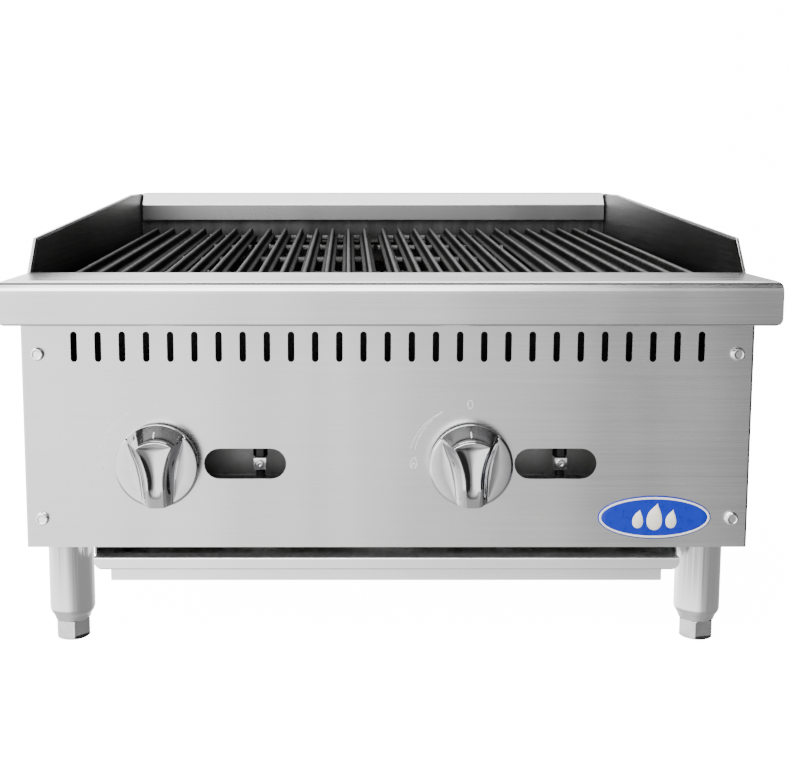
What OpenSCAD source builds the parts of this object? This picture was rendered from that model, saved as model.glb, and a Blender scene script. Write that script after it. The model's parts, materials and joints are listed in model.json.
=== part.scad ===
// Two-burner countertop charbroiler, built from sheet-metal, cast and pipe parts.
// X runs across the front with +X on the right of a person who stands at the knobs, Y runs from
// the front rail to the back, Z runs up. The origin is the middle of the footprint on the floor.

/* [Overall] */
// Width over the front rail
overall_w = 614; // [608:1:630]
// Depth from the front rail to the end of the gas inlet
overall_d = 701; // [698:1:715]
// Height from the floor to the top of the backsplash
overall_h = 386; // [384:1:390]
// Sheet thickness of the casing
sheet_t = 1.2; // [1:0.1:1.4]

/* [Casing] */
// Height of the underside of the casing above the floor
body_z = 98; // [96:1:100]
// Height of the front rail's flat top
rail_z = 328; // [326:1:330]
// Height of the front rail's face
rail_h = 35; // [32:1:38]
// Depth of the front rail's top
rail_d = 88; // [86:1:90]
// How far the front rail stands out from the control panel
rail_overhang = 54.5; // [52:0.5:57]
// Bend radius of the front rail
rail_r = 10; // [6:0.5:11]
// Height of a side shield at its front corner
shield_front_z = 356; // [350:1:360]
// Length of the level top of a side shield at the back
shield_flat = 92; // [80:1:100]
// Depth of the hem along a shield's edge
hem_d = 9; // [7:1:11]
// Gas inlet length that stands out behind the back panel
inlet_out = 22.5; // [22:0.5:24]

/* [Control panel] */
// Number of vent slots
vent_count = 27; // [23:2:27]
// Distance between vent slots
vent_pitch = 20; // [19:0.5:21]
// Width of a vent slot
vent_w = 5.5; // [4:0.5:7]
// Height of a vent slot
vent_h = 25.5; // [20:0.5:27]
// Height of the knob axes above the floor
knob_z = 171; // [169:1:173]
// Width of a lighting slot
view_w = 69; // [66:1:72]
// Height of a lighting slot
view_h = 26; // [22:1:28]
// Height of the badge's centre
badge_z = 124; // [122:1:128]
// Width of the badge
badge_w = 95; // [80:1:100]
// Height of the badge
badge_h = 37; // [30:1:38]

/* [Knobs] */
// Radius of a knob's skirt
knob_r = 35; // [32:0.5:35]
// Depth of a knob from its back to the front of its grip
knob_d = 23.5; // [22:0.5:27]
// Depth of a knob's skirt
knob_skirt_d = 11; // [9:0.5:13]
// How far a knob pushes in
knob_push = 3; // [2:0.5:3]

/* [Grates] */
// Number of grates
grate_count = 4; // [4:1:4]
// Distance between grates
grate_pitch = 145; // [144:0.5:146]
// Bars in one grate
bar_count = 7; // [7:1:7]
// Distance between bars
bar_pitch = 20.2; // [19.8:0.1:20.3]
// Length of a grate
grate_len = 530; // [526:1:531]
// Height of a grate
grate_h = 15; // [14:1:18]
// Slope of the grates, rising to the back, in degrees
grate_tilt = 2.28; // [2:0.01:2.4]

/* [Burners] */
// Distance between the two burners
burner_pitch = 260; // [257:1:261]
// Distance between the legs of one burner
burner_leg_pitch = 122; // [118:1:122]
// Radius of a burner leg
burner_r = 17; // [16:0.5:18]

/* [Drip tray] */
// Width of the tray's pan
tray_w = 474; // [470:1:476]
// Width of the tray's rim
tray_rim_w = 497; // [493:1:498]
// Depth of the tray's pan
tray_h = 24.5; // [22:0.5:26]

/* [Legs] */
// Distance between the left and right legs
leg_span_x = 559; // [554:1:560]
// Radius of a leg
leg_r = 19.8; // [19:0.1:20]
// Width across the flats of a foot
foot_af = 28; // [26:0.5:29]

/* [Hidden] */
$fn = 48;

// Gap between pieces that don't touch
gap = 0.3;
// Length that a cutting shape runs past the wall it cuts
past = 1;

// Casing
rail_x = overall_w / 2;
side_x = rail_x - sheet_t - gap;              // outer face of a side panel
liner_x = side_x - 2 * sheet_t - gap;         // outer face of a side liner
liner_in_x = liner_x - sheet_t;               // inner face of a side liner
y_front = -overall_d / 2;
panel_y = y_front + rail_overhang;            // front face of the control panel
rail_back_y = y_front + rail_d;
back_y = overall_d / 2 - inlet_out;           // outer face of the back panel
rear_liner_y = back_y - 32;                   // front face of the inner rear wall
panel_top_z = rail_z - sheet_t - 2;
panel_side_x = rail_x - 3.0;                  // outer edge of the control panel
panel_return = 12;
fold_x = side_x - 24;                         // inner edge of a side panel's front fold
shield_foot_y = rail_back_y + gap;
shield_lean = 23;
shield_top_z = overall_h - 1;
liner_z = 207;                                // lower edge of the side liners
screw_x = 290;
screw_z = [body_z + 25, body_z + 165];
screw_r = 2.5;

// Backsplash
splash_x = liner_in_x - 2.6;
splash_y = back_y - 42.5;                     // front face
splash_low_z = 350;
splash_bend_z = 371;
splash_top_y = splash_y + 13;

// Back screws
back_screw_x = side_x - 9;
back_screw_z = [body_z + 22, (body_z + splash_low_z) / 2, splash_low_z - 14];

// Gas train
burner_x = [-burner_pitch / 2, burner_pitch / 2];
knob_x = [for (x = burner_x) x - burner_leg_pitch / 2];
view_x = [for (x = knob_x) x + 72];
pilot_x = [for (x = knob_x) x + 82];
pipe_r = 13.35;
pipe_bore_r = 10.5;
pipe_hole_r = pipe_r + 2.5;
pipe_z = 138;
pipe_y = panel_y + 38;
inlet_x = 281;
elbow_r = 19;
thread_r = 13.1;
thread_len = 20;
baffle_y = panel_y + 74;
baffle_hole_r = 22;
stem_r = 4;
fit = 0.05;                                   // radial clearance of a running fit
knob_gap = knob_push + 1;
knob_back_y = panel_y - knob_gap;
valve_y = panel_y + 12;                       // front face of a gas valve
valve_len = 34;
outlet_r = 7;
outlet_len = 8;
collar_t = 3;
collar_y = valve_y - knob_push - 1 - collar_t;
hood_y = valve_y + valve_len + outlet_len - 6;
hood_len = 13;
mouth_y = hood_y + hood_len + 1;
pilot_block_z = 157;
pilot_block_h = 11;
pilot_tube_z = 196;
pilot_tube_r = 3;
pilot_end_y = baffle_y + 26;

// Grates
grate_front_y = rail_back_y + 12;
grate_low_z = rail_z - 7 - grate_h;           // lower front edge of a grate
grate_x = [for (i = [0 : grate_count - 1]) (i - (grate_count - 1) / 2) * grate_pitch];
bar_top_w = 3.6;
bar_foot_w = 7;
flange_w = 13.4;
flange_h = 6.7;
tie_count = 5;
tie_w = 8;
lug_out = 4.2;

// Radiants
radiant_x = [for (x = burner_x) each [x - burner_leg_pitch / 2, x + burner_leg_pitch / 2]];
radiant_w = 112;
radiant_h = 34;
radiant_z = 204;
radiant_front_y = baffle_y + 5;
radiant_len = 490;
radiant_t = 2;
rest_x = liner_in_x - sheet_t - 2 * gap;      // half width of the radiants' rests
support_t = 1.5;
support_z = knob_z - burner_r - 8;            // underside of the burners' support

// Base and tray
channel_h = 20;
channel_t = 1.5;
channel_in_x = 246;
front_channel_y = panel_y + 3;
front_channel_d = 26;
rear_channel_d = 24;
tray_x = tray_w / 2;
rim_x = tray_rim_w / 2;
tray_top_z = body_z - 10;
tray_lip_y = panel_y + 1.5;
tray_front_y = panel_y + 16;
tray_back_y = rear_liner_y - 4;
tray_lip_h = 10.5;

// Legs and feet
leg_y = [panel_y + 54.5, back_y - 58];
plate_t = 3;
plate_w = 44;
plate_d = 60;
leg_low_z = 17;
foot_top_z = leg_low_z - gap;
stem_bore_r = 8;
foot_stem_top_z = 72;

// ---- shapes that the parts share ----

function unit(v) = v / norm(v);
function left_normal(a, b) = let (d = unit(b - a)) [-d[1], d[0]];
function wrap(a) = a > 180 ? a - 360 : a < -180 ? a + 360 : a;

// Points along an arc about c, from angle a0 through da
function arc(c, r, a0, da, n) = [for (k = [0 : n]) c + r * [cos(a0 + da * k / n), sin(a0 + da * k / n)]];

// The arc of radius r that rounds the corner b between a and c
function corner(a, b, c, r, n) =
    let (
        u = unit(a - b),
        v = unit(c - b),
        half = acos(u * v) / 2,
        o = b + unit(u + v) * r / sin(half),
        s = b + u * r / tan(half) - o,
        e = b + v * r / tan(half) - o,
        a0 = atan2(s[1], s[0]),
        da = wrap(atan2(e[1], e[0]) - a0)
    ) arc(o, r, a0, da, n);

// A path with its inner corners rounded
function bend(p, r, n = 4) = [
    for (i = [0 : len(p) - 1])
        each (i == 0 || i == len(p) - 1 ? [p[i]] : corner(p[i - 1], p[i], p[i + 1], r, n))
];

// The point beside p[i] at distance t to the left of the path
function beside(p, i, t) =
    i == 0 ? p[0] + t * left_normal(p[0], p[1]) :
    i == len(p) - 1 ? p[i] + t * left_normal(p[i - 1], p[i]) :
    let (
        n1 = left_normal(p[i - 1], p[i]),
        m = unit(n1 + left_normal(p[i], p[i + 1]))
    ) p[i] + m * t / (m * n1);

// Outline of a folded sheet of thickness t on the left of a path
function folded(p, t) = concat(p, [for (i = [len(p) - 1 : -1 : 0]) beside(p, i, t)]);

// A rectangle with a radius for each corner, in the order low-left, low-right, top-right, top-left
function rounded(x0, y0, x1, y1, r, n = 6) = concat(
    arc([x0 + r[0], y0 + r[0]], r[0], 180, 90, n),
    arc([x1 - r[1], y0 + r[1]], r[1], 270, 90, n),
    arc([x1 - r[2], y1 - r[2]], r[2], 0, 90, n),
    arc([x0 + r[3], y1 - r[3]], r[3], 90, 90, n)
);

// A slot with round ends, centred on c
function slot_outline(c, w, h, n = 10) =
    w > h
    ? concat(arc(c + [(w - h) / 2, 0], h / 2, -90, 180, n), arc(c - [(w - h) / 2, 0], h / 2, 90, 180, n))
    : concat(arc(c + [0, (h - w) / 2], w / 2, 0, 180, n), arc(c - [0, (h - w) / 2], w / 2, 180, 180, n));

function ellipse(w, h, n) = [for (k = [0 : n - 1]) [w / 2 * cos(360 * k / n), h / 2 * sin(360 * k / n)]];

// A box between two corners
module block(a, b) { translate(a) cube(b - a); }
// An outline in Y and Z, extruded along X
module along_x(outline, x0, x1) { translate([x0, 0, 0]) rotate([90, 0, 90]) linear_extrude(x1 - x0) polygon(outline); }
// An outline in X and Z, extruded along Y
module along_y(outline, y0, y1) { translate([0, y1, 0]) rotate([90, 0, 0]) linear_extrude(y1 - y0) polygon(outline); }
// An outline in X and Y, extruded along Z
module along_z(outline, z0, z1) { translate([0, 0, z0]) linear_extrude(z1 - z0) polygon(outline); }
// Round bars along Y and X
module rod_y(x, z, r, y0, y1) { translate([x, y1, z]) rotate([90, 0, 0]) cylinder(r = r, h = y1 - y0); }
module rod_x(y, z, r, x0, x1) { translate([x0, y, z]) rotate([0, 90, 0]) cylinder(r = r, h = x1 - x0); }
// The same shape on the left and on the right
module both() {
    children();
    mirror([1, 0, 0]) children();
}
// Mirrors its shape to the side where s is -1
module side(s) { mirror([s < 0 ? 1 : 0, 0, 0]) children(); }

// ---- casing ----

module control_panel() {
    outline = bend([
        [-panel_side_x, panel_y + panel_return], [-panel_side_x, panel_y],
        [panel_side_x, panel_y], [panel_side_x, panel_y + panel_return]
    ], 2);
    color("silver") difference() {
        union() {
            along_z(folded(outline, sheet_t), body_z, panel_top_z);
            block([gap - fold_x, panel_y, body_z], [fold_x - gap, panel_y + 10, body_z + sheet_t]);
        }
        for (i = [0 : vent_count - 1])
            along_y(slot_outline([(i - (vent_count - 1) / 2) * vent_pitch, rail_z - rail_h - 24], vent_w, vent_h),
                panel_y - past, panel_y + 5);
        for (x = view_x)
            along_y(slot_outline([x, knob_z - 1], view_w, view_h), panel_y - past, panel_y + 5);
        for (x = knob_x)
            rod_y(x, knob_z, 6, panel_y - past, panel_y + 5);
        both() for (z = screw_z)
            rod_y(screw_x, z, screw_r + 0.2, panel_y - past, panel_y + 5);
    }
}

module front_rail() {
    z0 = rail_z - rail_h;
    t = sheet_t;
    color("silver") difference() {
        intersection() {
            along_x(rounded(y_front, z0, rail_back_y, rail_z, [2, 1.5, 1.5, rail_r]), -rail_x, rail_x);
            along_y(rounded(-rail_x, z0, rail_x, rail_z, [6, 6, 4.5, 4.5]), y_front - past, rail_back_y + past);
        }
        intersection() {
            along_x(rounded(y_front + t, z0 + t, rail_back_y - t, rail_z - t, [1, 0.5, 0.5, rail_r - t]),
                -rail_x, rail_x);
            along_y(rounded(-rail_x + t, z0 + t, rail_x - t, rail_z - t, [5, 5, 3.5, 3.5]),
                y_front - past, rail_back_y + past);
        }
        block([-rail_x + 6, y_front + 15, z0 - past], [rail_x - 6, rail_back_y - t, z0 + 2 * t]);
        both() block([side_x - 6, panel_y - 3, z0 - past], [side_x + gap, rail_back_y + past, rail_z - t]);
    }
}

// Outline of a side, in Y and Z, shrunk by d along its free edges
function side_outline(d) = [
    [panel_y + panel_return + gap, body_z], [back_y - gap, body_z],
    [back_y - gap, shield_top_z - d], [back_y - shield_flat, shield_top_z - d],
    [shield_foot_y + shield_lean + d, shield_front_z - d * 0.95], [shield_foot_y + d * 1.2, rail_z],
    [shield_foot_y + d * 1.2, panel_top_z], [panel_y + panel_return + gap, panel_top_z]
];

module side_panel(s) {
    x = side_x;
    t = sheet_t;
    jog = 3.3;
    y0 = panel_y + panel_return + gap;
    front_fold = [[fold_x, panel_y + t + gap], [x - jog, panel_y + t + gap], [x - jog, y0 + t]];
    color("silver") side(s) {
        difference() {
            union() {
                along_x(side_outline(0), x - t, x);
                difference() {
                    along_x(side_outline(0), x - 2 * t, x - t);
                    translate([0, 0, -past]) along_x(side_outline(hem_d), x - 2 * t - past, x - t + past);
                    block([x - 2 * t - past, y0 - past, body_z - past], [x, back_y, rail_z - 1]);
                    block([x - 2 * t - past, back_y - 20, body_z], [x, back_y, overall_h]);
                }
                along_z(folded(front_fold, t), body_z, panel_top_z);
                block([x - jog - t, y0, body_z], [x, y0 + t, panel_top_z]);
                block([x - 18, back_y - 2 * t - gap, body_z + 2], [x, back_y - t - gap, splash_bend_z]);
            }
            for (z = screw_z)
                rod_y(screw_x, z, screw_r + 0.2, panel_y, panel_y + 8);
            for (z = back_screw_z)
                rod_y(back_screw_x, z, screw_r + 0.2, back_y - 8, back_y);
            if (s > 0)
                rod_y(inlet_x, pipe_z, pipe_hole_r, back_y - 8, back_y);
        }
    }
}

module back_panel() {
    x = side_x - sheet_t - gap;
    color("silver") difference() {
        block([-x, back_y - sheet_t, body_z], [x, back_y, overall_h - 3]);
        for (i = [-9 : 9])
            along_y(slot_outline([i * 24, body_z + 130], 6, 40), back_y - 5, back_y + past);
        rod_y(inlet_x, pipe_z, pipe_hole_r, back_y - 5, back_y + past);
        both() for (z = back_screw_z)
            rod_y(back_screw_x, z, screw_r + 0.2, back_y - 5, back_y + past);
    }
}

module backsplash() {
    path = bend([
        [splash_y + 8, splash_low_z], [splash_y, splash_low_z], [splash_y, splash_bend_z],
        [splash_top_y, overall_h], [back_y + sheet_t, overall_h], [back_y + sheet_t, splash_low_z + 14]
    ], 1.8);
    color("silver") along_x(folded(path, -sheet_t), -splash_x, splash_x);
}

module side_liner(s) {
    z0 = liner_z;
    y0 = shield_foot_y + 1.5;
    d = 1.6;
    outline = [
        [y0, z0], [rear_liner_y - gap, z0], [rear_liner_y - gap, splash_bend_z],
        [back_y - 4, splash_bend_z], [back_y - 4, shield_top_z - d],
        [back_y - shield_flat, shield_top_z - d], [shield_foot_y + shield_lean + d, shield_front_z - d], [y0, rail_z]
    ];
    color("dimgray") side(s) along_x(outline, liner_in_x, liner_x);
}

// Notches that clear the base channels, the leg plates and the tray rails
module base_notches(y) {
    both() block([rim_x - 9, y - past, tray_top_z], [rail_x, y + 5, body_z + channel_h + gap]);
}

module rear_liner() {
    y = rear_liner_y;
    color("dimgray") difference() {
        block([-liner_in_x + gap, y, tray_top_z + 3], [liner_in_x - gap, y + sheet_t, splash_bend_z + 3]);
        base_notches(y);
        rod_y(inlet_x, pipe_z, pipe_hole_r, y - past, y + 5);
    }
}

module front_baffle() {
    y = baffle_y;
    color("dimgray") difference() {
        block([-liner_in_x + gap, y, tray_top_z + 3], [liner_in_x - gap, y + sheet_t, grate_low_z - 3]);
        base_notches(y);
        for (x = knob_x)
            rod_y(x, knob_z, baffle_hole_r, y - 5, y + 5);
        for (x = pilot_x)
            rod_y(x, pilot_tube_z, pilot_tube_r + 1.5, y - 5, y + 5);
        rod_y(inlet_x, pipe_z, pipe_hole_r, y - 5, y + 5);
    }
}

module grease_deflector(s) {
    path = bend([
        [liner_in_x - gap, liner_z - 2], [liner_in_x - gap, liner_z - 14],
        [tray_x - 5, body_z + 8], [tray_x - 5, tray_top_z + 3]
    ], 4);
    color("dimgray") side(s) along_y(folded(path, -sheet_t), baffle_y + 1.5 + sheet_t, rear_liner_y - gap);
}

// ---- base ----

module front_base_channel() {
    y = front_channel_y;
    path = bend([
        [y, body_z + channel_h], [y, body_z + 1.5], [y + front_channel_d, body_z + 1.5],
        [y + front_channel_d, body_z + channel_h]
    ], 2);
    color("gray") along_x(folded(path, channel_t), -channel_in_x + gap, channel_in_x - gap);
}

module rear_base_channel() {
    y = back_y - 2.5;
    path = bend([
        [y, body_z + channel_h], [y, body_z], [y - rear_channel_d, body_z],
        [y - rear_channel_d, body_z + channel_h]
    ], 2);
    color("gray") along_x(folded(path, -channel_t), -channel_in_x + gap, channel_in_x - gap);
}

module side_base_channel(s) {
    x0 = channel_in_x;
    x1 = side_x - sheet_t - gap;
    path = bend([[x0, body_z + channel_h - 3], [x0, body_z], [x1, body_z], [x1, body_z + channel_h]], 2);
    color("gray") side(s) difference() {
        along_y(folded(path, channel_t), panel_y + 15, back_y - 3);
        for (y = leg_y)
            leg_bolt_holes(leg_span_x / 2, y, body_z - past, body_z + 5);
    }
}

module tray_rail(s) {
    x = rim_x + 1.2;
    ledge_z = tray_top_z - sheet_t - 0.4;
    path = bend([
        [rim_x - 7, ledge_z - channel_t], [x + channel_t, ledge_z - channel_t], [x + channel_t, body_z - gap]
    ], 1.6);
    color("gray") side(s) {
        along_y(folded(path, channel_t), panel_y + 19, back_y - 28);
        block([channel_in_x, panel_y + 19, body_z - gap - channel_t], [x + channel_t, back_y - 28, body_z - gap]);
    }
}

// ---- rests inside the fire box ----

// A point at distance y along a grate's underside and z above it, in Y and Z
function on_grate(y, z) = [
    grate_front_y + y * cos(grate_tilt) - z * sin(grate_tilt),
    grate_low_z + y * sin(grate_tilt) + z * cos(grate_tilt)
];

module front_grate_rest() {
    a = on_grate(4, -0.4);
    b = on_grate(28, -0.4);
    path = [a, b, [baffle_y - gap, grate_low_z - 22]];
    color("dimgray") along_x(folded(path, -2), -liner_in_x + gap, liner_in_x - gap);
}

module rear_grate_rest() {
    a = on_grate(grate_len - 22, -0.4);
    b = on_grate(grate_len + 10, -0.4);
    y = rear_liner_y - gap;
    path = [a, [y, b[1] + (y - b[0]) * tan(grate_tilt)], [y, b[1] - 30]];
    color("dimgray") along_x(folded(path, -2), -liner_in_x + gap, liner_in_x - gap);
}

module front_radiant_rest() {
    y = baffle_y + sheet_t + gap;
    path = bend([[y, radiant_z + 14], [y, radiant_z - gap - 1.5], [y + 22, radiant_z - gap - 1.5]], 2);
    color("dimgray") along_x(folded(path, 1.5), -rest_x, rest_x);
}

module rear_radiant_rest() {
    y = rear_liner_y - gap;
    path = bend([[y, radiant_z + 14], [y, radiant_z - gap - 1.5], [y - 34, radiant_z - gap - 1.5]], 2);
    color("dimgray") along_x(folded(path, -1.5), -rest_x, rest_x);
}

module burner_support() {
    y = rear_liner_y - gap;
    z = support_z;
    path = bend([[y, z + 18], [y, z], [y - 62, z]], 2);
    color("dimgray") along_x(folded(path, -support_t), -radiant_x[3] - 20, radiant_x[3] + 20);
}

// ---- legs ----

module leg_bolt_holes(x, y, z0, z1) {
    for (dx = [-15, 15], dy = [-24, 24])
        translate([x + dx, y + dy, z0]) cylinder(r = 3.2, h = z1 - z0);
}

module leg(s, y) {
    x = leg_span_x / 2;
    z1 = body_z - plate_t - gap;
    profile = concat(
        [[stem_bore_r, leg_low_z]], [[leg_r - 4.6, leg_low_z]],
        arc([leg_r - 9, leg_low_z + 11.4], 9, -45, 45, 6),
        [[leg_r, z1], [leg_r - 1.6, z1], [leg_r - 1.6, leg_low_z + 24], [stem_bore_r, leg_low_z + 24]]
    );
    color("silver") side(s) difference() {
        union() {
            translate([x, y, 0]) rotate_extrude() polygon(profile);
            block([x - plate_w / 2, y - plate_d / 2, z1], [x + plate_w / 2, y + plate_d / 2, z1 + plate_t]);
        }
        leg_bolt_holes(x, y, z1 - past, z1 + plate_t + past);
    }
}

module leg_bolts() {
    z1 = body_z - plate_t - gap;
    color("silver") both() for (y = leg_y, dx = [-15, 15], dy = [-24, 24])
        translate([leg_span_x / 2 + dx, y + dy, 0]) {
            translate([0, 0, z1 - 4.3]) cylinder(r = 5, h = 4, $fn = 6);
            translate([0, 0, z1 - 0.5]) cylinder(r = 3, h = plate_t + channel_t + 6);
        }
}

module foot(s, y) {
    x = leg_span_x / 2;
    corner_r = foot_af / 2 / cos(30);
    color("silver") side(s) translate([x, y, 0]) {
        intersection() {
            rotate([0, 0, 14]) cylinder(r = corner_r, h = foot_top_z, $fn = 6);
            rotate_extrude() polygon([
                [0, 0], [corner_r - 2.2, 0], [corner_r + 0.3, 2.2], [corner_r + 0.3, foot_top_z - 1],
                [corner_r - 1, foot_top_z], [0, foot_top_z]
            ]);
        }
        translate([0, 0, foot_top_z - 1]) cylinder(r = stem_bore_r - fit, h = foot_stem_top_z - foot_top_z + 1);
    }
}

// ---- fasteners ----

// A hexagonal flange-head screw along Y, its head in front of y
module panel_screw(x, z, y, s, grip) {
    rod_y(x, z, 5.6, s > 0 ? y - 1.2 : y, s > 0 ? y : y + 1.2);
    translate([x, s > 0 ? y : y + 4.6, z]) rotate([90, 0, 0]) cylinder(r = 4.6, h = 4.6, $fn = 6);
    rod_y(x, z, screw_r, s > 0 ? y - 0.5 : y - grip, s > 0 ? y + grip : y + 0.5);
}

module panel_screws() {
    color("gainsboro") both() for (z = screw_z) panel_screw(screw_x, z, panel_y, 1, 9);
}

module back_screws() {
    color("gainsboro") both() for (z = back_screw_z) panel_screw(back_screw_x, z, back_y, -1, 8);
}

// ---- gas train ----

module gas_manifold() {
    color("darkgray") difference() {
        union() {
            rod_x(pipe_y, pipe_z, pipe_r, knob_x[0] - 38, inlet_x - elbow_r - 2);
            rod_x(pipe_y, pipe_z, pipe_r + 3.5, knob_x[0] - 42, knob_x[0] - 24);
            translate([knob_x[0] - 50, pipe_y, pipe_z]) rotate([0, 90, 0]) cylinder(r = 10, h = 10, $fn = 6);
        }
        rod_x(pipe_y, pipe_z, pipe_bore_r, knob_x[0] - 30, inlet_x);
        for (x = knob_x) translate([x, pipe_y, pipe_z]) cylinder(r = 6.55, h = 20);
        for (x = pilot_x) translate([x, pipe_y, pipe_z]) cylinder(r = 4.05, h = 20);
    }
}

module elbow(r, grow) {
    translate([inlet_x - elbow_r, pipe_y + elbow_r, pipe_z]) rotate([0, 0, -90])
        rotate_extrude(angle = 90) translate([elbow_r, 0]) circle(r = r);
    rod_x(pipe_y, pipe_z, r + grow, inlet_x - elbow_r - 14, inlet_x - elbow_r);
    rod_y(inlet_x, pipe_z, r + grow, pipe_y + elbow_r, pipe_y + elbow_r + 14);
}

module gas_inlet_pipe() {
    y1 = overall_d / 2;
    color("darkgray") difference() {
        union() {
            elbow(pipe_r + 3, 1.5);
            rod_y(inlet_x, pipe_z, pipe_r, pipe_y + elbow_r, y1 - thread_len);
            rod_y(inlet_x, pipe_z, thread_r, pipe_y + elbow_r, y1);
        }
        translate([inlet_x - elbow_r, pipe_y + elbow_r, pipe_z]) rotate([0, 0, -90])
            rotate_extrude(angle = 90) translate([elbow_r, 0]) circle(r = pipe_bore_r);
        rod_x(pipe_y, pipe_z, pipe_r + fit, inlet_x - elbow_r - 20, inlet_x - elbow_r - 1);
        rod_x(pipe_y, pipe_z, pipe_bore_r, inlet_x - elbow_r - 5, inlet_x - elbow_r);
        rod_y(inlet_x, pipe_z, pipe_bore_r, pipe_y + elbow_r, y1 + past);
    }
}

module gas_valve(x) {
    y1 = valve_y + valve_len;
    color("goldenrod") difference() {
        union() {
            rod_y(x, knob_z, 11, valve_y, valve_y + 7);
            translate([x, y1 - 3, knob_z]) rotate([90, 0, 0]) rotate([0, 0, 30])
                cylinder(r = 15, h = valve_len - 9, $fn = 6);
            rod_y(x, knob_z, 9, y1 - 4, y1);
            rod_y(x, knob_z, outlet_r, y1 - 2, y1 + outlet_len);
            translate([x, pipe_y, pipe_z + 8]) cylinder(r = 6.5, h = knob_z - pipe_z - 12);
        }
        rod_y(x, knob_z, stem_r + fit, valve_y - past, valve_y + 14);
    }
}

module orifice_hoods() {
    color("goldenrod") for (x = knob_x) difference() {
        translate([x, hood_y + hood_len, knob_z]) rotate([90, 0, 0]) cylinder(r = 9.2, h = hood_len, $fn = 6);
        rod_y(x, knob_z, outlet_r + fit, hood_y - past, hood_y + 8);
        rod_y(x, knob_z, 1, hood_y, hood_y + hood_len + past);
    }
}

// The tube system of a burner, swollen by g
module burner_tubes(x, g) {
    a = x - burner_leg_pitch / 2;
    b = x + burner_leg_pitch / 2;
    y0 = mouth_y + 56;
    y1 = rear_liner_y - 45;
    inner = g < 0;
    translate([a, mouth_y, knob_z]) rotate([-90, 0, 0]) rotate_extrude() polygon([
        [0, inner ? -past : 0], [20 + g, inner ? -past : 0], [20 + g, 3], [12 + g, 26], [12 + g, 34],
        [burner_r + g, 58], [0, 58]
    ]);
    rod_y(a, knob_z, burner_r + g, y0, y1 + g);
    rod_y(b, knob_z, burner_r + g, y0 + 4 - g, y1 + g);
    rod_x(y1 - burner_r - 4, knob_z, burner_r - 3 + g, a, b);
}

module burner(x) {
    port_rows = 17;
    y0 = mouth_y + 76;
    y1 = rear_liner_y - 45 - 2 * burner_r - 14;
    color("lightslategray") difference() {
        union() {
            burner_tubes(x, 0);
            both_legs(x) block([-9, rear_liner_y - 56, support_z + support_t + gap], [9, rear_liner_y - 52, knob_z - 10]);
        }
        burner_tubes(x, -1.6);
        both_legs(x) for (i = [0 : port_rows - 1]) {
            y = y0 + (y1 - y0) * i / (port_rows - 1);
            block([-15, y - 1.2, knob_z + 7], [-6, y + 1.2, knob_z + 20]);
            block([6, y - 1.2, knob_z + 7], [15, y + 1.2, knob_z + 20]);
        }
    }
}

module both_legs(x) {
    for (dx = [-burner_leg_pitch / 2, burner_leg_pitch / 2])
        translate([x + dx, 0, 0]) children();
}

module pilot_valves() {
    z = pilot_block_z;
    color("gainsboro") for (x = pilot_x) {
        translate([x, pipe_y, pipe_z + 8]) cylinder(r = 4, h = z - pipe_z - 7);
        block([x - 4.6, pipe_y - 7, z], [x + 4.6, pipe_y + 6, z + pilot_block_h]);
        rod_y(x, z + pilot_block_h / 2, 3, pipe_y - 9, pipe_y - 6);
        translate([x, pipe_y, z + pilot_block_h - 1]) cylinder(r = 6.4, h = 11, $fn = 6);
    }
}

module pilot_tubes() {
    z0 = pilot_block_z + pilot_block_h + 10 + gap;
    bend_r = 9;
    sleeve_r = pilot_tube_r + 0.6;
    color("darkgoldenrod") for (x = pilot_x) {
        translate([x, pipe_y, z0]) cylinder(r = sleeve_r, h = pilot_tube_z - bend_r - z0 + 1);
        translate([x, pipe_y + bend_r, pilot_tube_z - bend_r]) rotate([90, 0, 90]) rotate([0, 0, 90])
            rotate_extrude(angle = 90) translate([bend_r, 0]) circle(r = pilot_tube_r);
        rod_y(x, pilot_tube_z, sleeve_r, pipe_y + bend_r - 1, pilot_end_y);
    }
}

module pilot_burners() {
    y = pilot_end_y + gap;
    color("darkgray") for (x = pilot_x) {
        block([x - 6, y, pilot_tube_z - 10], [x + 6, y + 8, pilot_tube_z + 5]);
        rod_y(x, pilot_tube_z - 3, 4, y + 7, y + 22);
        block([x - 13, y + 20, pilot_tube_z - 4], [x + 13, y + 26, pilot_tube_z + 1]);
    }
}

// ---- radiants, badge ----

module radiant(x) {
    t = radiant_t;
    z = radiant_z;
    w = radiant_w / 2;
    path = [[x - w, z], [x - w + 10, z], [x - 5, z + radiant_h], [x + 5, z + radiant_h], [x + w - 10, z], [x + w, z]];
    y0 = radiant_front_y;
    slots = 9;
    color("dimgray") difference() {
        along_y(folded(path, t), y0, y0 + radiant_len);
        for (i = [0 : slots - 1], s = [-1, 1]) {
            y = y0 + 40 + i * (radiant_len - 80) / (slots - 1);
            block([x + s * 26 - 8, y - 4, z + 2], [x + s * 26 + 8, y + 4, z + radiant_h]);
        }
    }
}

module badge() {
    x = screw_x - 65;
    color("royalblue") translate([x, panel_y, badge_z]) rotate([90, 0, 0])
        linear_extrude(1.6) polygon(ellipse(badge_w, badge_h, 64));
}

// ---- moving parts ----

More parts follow.
